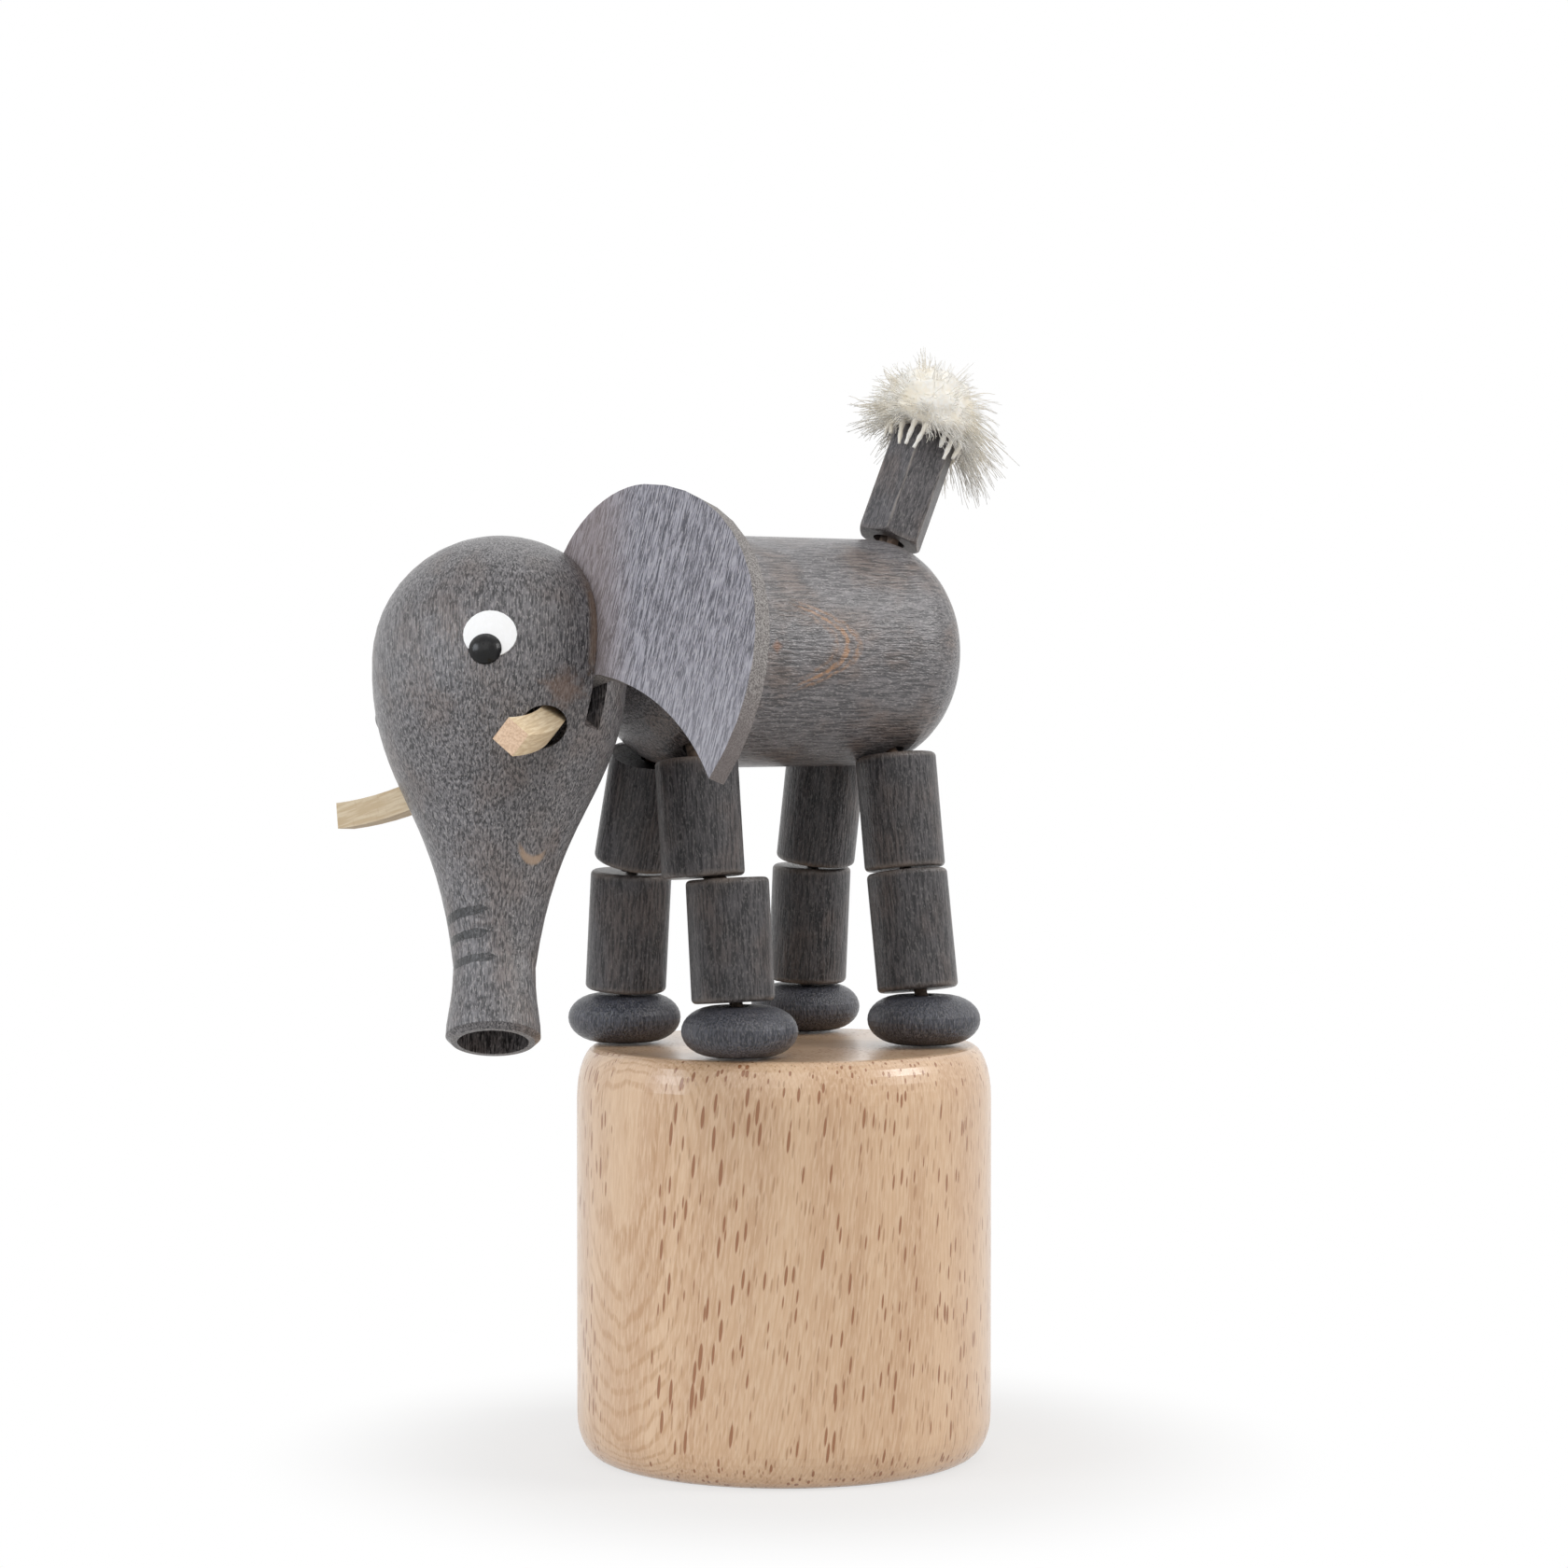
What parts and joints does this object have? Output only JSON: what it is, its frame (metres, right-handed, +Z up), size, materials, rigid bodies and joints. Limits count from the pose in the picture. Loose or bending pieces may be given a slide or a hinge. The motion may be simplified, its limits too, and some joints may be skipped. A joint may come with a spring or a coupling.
{
  "type": "push puppet",
  "caption": "Wooden elephant of grey beads strung on cords over a beech drum; pressing the sprung button in the drum's foot slackens the cords and the elephant sinks forward.",
  "frame": {"origin": "middle of the drum's foot, on the surface that it stands on", "axes": "+Z up, +X the way the elephant faces, +Y towards the elephant's left side"},
  "size_m": [0.0681, 0.0553, 0.108],
  "materials": {
    "beech": "oiled beech, satin",
    "grey_wood": "dark grey stain, satin",
    "ear_wood": "light grey stain, matt",
    "tusk_wood": "bare pale wood, sawn",
    "cotton": "natural cotton cord",
    "spring_steel": "drawn wire",
    "white_paint": "white paint",
    "black_paint": "glossy black paint"
  },
  "bodies": {
    "base": {"drum": "beech", "return_spring": "spring_steel", "drum_cords": "cotton"},
    "push_button": {"push_button": "beech", "cord_knots": "cotton"},
    "foot_front_left": {"foot_front_left": "grey_wood", "foot_cord_front_left": "cotton"},
    "lower_leg_front_left": {"lower_leg_front_left": "grey_wood", "lower_cord_front_left": "cotton"},
    "upper_leg_front_left": {"upper_leg_front_left": "grey_wood", "upper_cord_front_left": "cotton"},
    "foot_front_right": {"foot_front_right": "grey_wood", "foot_cord_front_right": "cotton"},
    "lower_leg_front_right": {"lower_leg_front_right": "grey_wood", "lower_cord_front_right": "cotton"},
    "upper_leg_front_right": {"upper_leg_front_right": "grey_wood", "upper_cord_front_right": "cotton"},
    "foot_rear_left": {"foot_rear_left": "grey_wood", "foot_cord_rear_left": "cotton"},
    "lower_leg_rear_left": {"lower_leg_rear_left": "grey_wood", "lower_cord_rear_left": "cotton"},
    "upper_leg_rear_left": {"upper_leg_rear_left": "grey_wood", "upper_cord_rear_left": "cotton"},
    "foot_rear_right": {"foot_rear_right": "grey_wood", "foot_cord_rear_right": "cotton"},
    "lower_leg_rear_right": {"lower_leg_rear_right": "grey_wood", "lower_cord_rear_right": "cotton"},
    "upper_leg_rear_right": {"upper_leg_rear_right": "grey_wood", "upper_cord_rear_right": "cotton"},
    "body": {"body": "grey_wood", "front_cords": "cotton", "rear_cords": "cotton"},
    "head": {"head": "grey_wood", "neck_cord": "cotton", "ear_left": "ear_wood", "ear_right": "ear_wood", "tusk_left": "tusk_wood", "tusk_right": "tusk_wood", "eye_white_left": "white_paint", "eye_white_right": "white_paint", "pupil_left": "black_paint", "pupil_right": "black_paint"},
    "tail": {"tail": "grey_wood", "tail_cord": "cotton", "tail_tuft": "cotton"}
  },
  "joints": [
    {"name": "push_button_press", "type": "slide", "parent": "base", "child": "push_button", "axis": [0, 0, 1], "range_m": [0, 0.0075], "stiffness_N_per_m": 600, "springref_m": -0.003, "deforming": ["return_spring", "drum_cords"]},
    {"name": "foot_roll_front_left", "type": "hinge", "parent": "base", "child": "foot_front_left", "pos_m": [0.0143, 0.009, 0.0395], "axis": [0, 1, 0], "range_deg": [0, 15]},
    {"name": "ankle_front_left", "type": "hinge", "parent": "foot_front_left", "child": "lower_leg_front_left", "pos_m": [0.0156, 0.009, 0.0445], "axis": [0, 1, 0], "range_deg": [0, 42]},
    {"name": "knee_front_left", "type": "hinge", "parent": "lower_leg_front_left", "child": "upper_leg_front_left", "pos_m": [0.0078, 0.0063, 0.0562], "axis": [0, 1, 0], "range_deg": [-12, 0]},
    {"name": "hip_front_left", "type": "hinge", "parent": "upper_leg_front_left", "child": "body", "pos_m": [0.0078, 0.0044, 0.0671], "axis": [0, 1, 0], "range_deg": [-45, 0]},
    {"name": "hip_front_right", "type": "hinge", "parent": "body", "child": "upper_leg_front_right", "pos_m": [0.0078, -0.0055, 0.0671], "axis": [0, 1, 0], "range_deg": [0, 45]},
    {"name": "knee_front_right", "type": "hinge", "parent": "upper_leg_front_right", "child": "lower_leg_front_right", "pos_m": [0.0078, -0.0088, 0.0562], "axis": [0, 1, 0], "range_deg": [0, 12]},
    {"name": "ankle_front_right", "type": "hinge", "parent": "lower_leg_front_right", "child": "foot_front_right", "pos_m": [0.0156, -0.0102, 0.0445], "axis": [0, 1, 0], "range_deg": [-42, 0]},
    {"name": "hip_rear_left", "type": "hinge", "parent": "body", "child": "upper_leg_rear_left", "pos_m": [-0.014, 0.0045, 0.0671], "axis": [0, 1, 0], "range_deg": [0, 45]},
    {"name": "knee_rear_left", "type": "hinge", "parent": "upper_leg_rear_left", "child": "lower_leg_rear_left", "pos_m": [-0.014, 0.0062, 0.0562], "axis": [0, 1, 0], "range_deg": [0, 12]},
    {"name": "ankle_rear_left", "type": "hinge", "parent": "lower_leg_rear_left", "child": "foot_rear_left", "pos_m": [-0.0062, 0.009, 0.0445], "axis": [0, 1, 0], "range_deg": [-42, 0]},
    {"name": "hip_rear_right", "type": "hinge", "parent": "body", "child": "upper_leg_rear_right", "pos_m": [-0.014, -0.0063, 0.0671], "axis": [0, 1, 0], "range_deg": [0, 45]},
    {"name": "knee_rear_right", "type": "hinge", "parent": "upper_leg_rear_right", "child": "lower_leg_rear_right", "pos_m": [-0.014, -0.0087, 0.0562], "axis": [0, 1, 0], "range_deg": [0, 12]},
    {"name": "ankle_rear_right", "type": "hinge", "parent": "lower_leg_rear_right", "child": "foot_rear_right", "pos_m": [-0.0062, -0.0102, 0.0445], "axis": [0, 1, 0], "range_deg": [-42, 0]},
    {"name": "neck_nod", "type": "hinge", "parent": "body", "child": "head", "pos_m": [0.01945, -0.0011, 0.0749], "axis": [0, 1, 0], "range_deg": [0, 22]},
    {"name": "tail_droop", "type": "hinge", "parent": "body", "child": "tail", "pos_m": [-0.01671, -0.0011, 0.08696], "axis": [0, 1, 0], "range_deg": [-35, 0]}
  ],
  "couplings": [
    {"joint": "foot_roll_front_left", "follows": "push_button_press", "rad_per_m": 34.9},
    {"joint": "ankle_front_left", "follows": "push_button_press", "rad_per_m": 97.7},
    {"joint": "knee_front_left", "follows": "push_button_press", "rad_per_m": -27.9},
    {"joint": "hip_front_left", "follows": "push_button_press", "rad_per_m": -104.7},
    {"joint": "hip_front_right", "follows": "push_button_press", "rad_per_m": 104.7},
    {"joint": "knee_front_right", "follows": "push_button_press", "rad_per_m": 27.9},
    {"joint": "ankle_front_right", "follows": "push_button_press", "rad_per_m": -97.7},
    {"joint": "hip_rear_left", "follows": "push_button_press", "rad_per_m": 104.7},
    {"joint": "knee_rear_left", "follows": "push_button_press", "rad_per_m": 27.9},
    {"joint": "ankle_rear_left", "follows": "push_button_press", "rad_per_m": -97.7},
    {"joint": "hip_rear_right", "follows": "push_button_press", "rad_per_m": 104.7},
    {"joint": "knee_rear_right", "follows": "push_button_press", "rad_per_m": 27.9},
    {"joint": "ankle_rear_right", "follows": "push_button_press", "rad_per_m": -97.7},
    {"joint": "neck_nod", "follows": "push_button_press", "rad_per_m": 51.1},
    {"joint": "tail_droop", "follows": "push_button_press", "rad_per_m": -81.4}
  ]
}
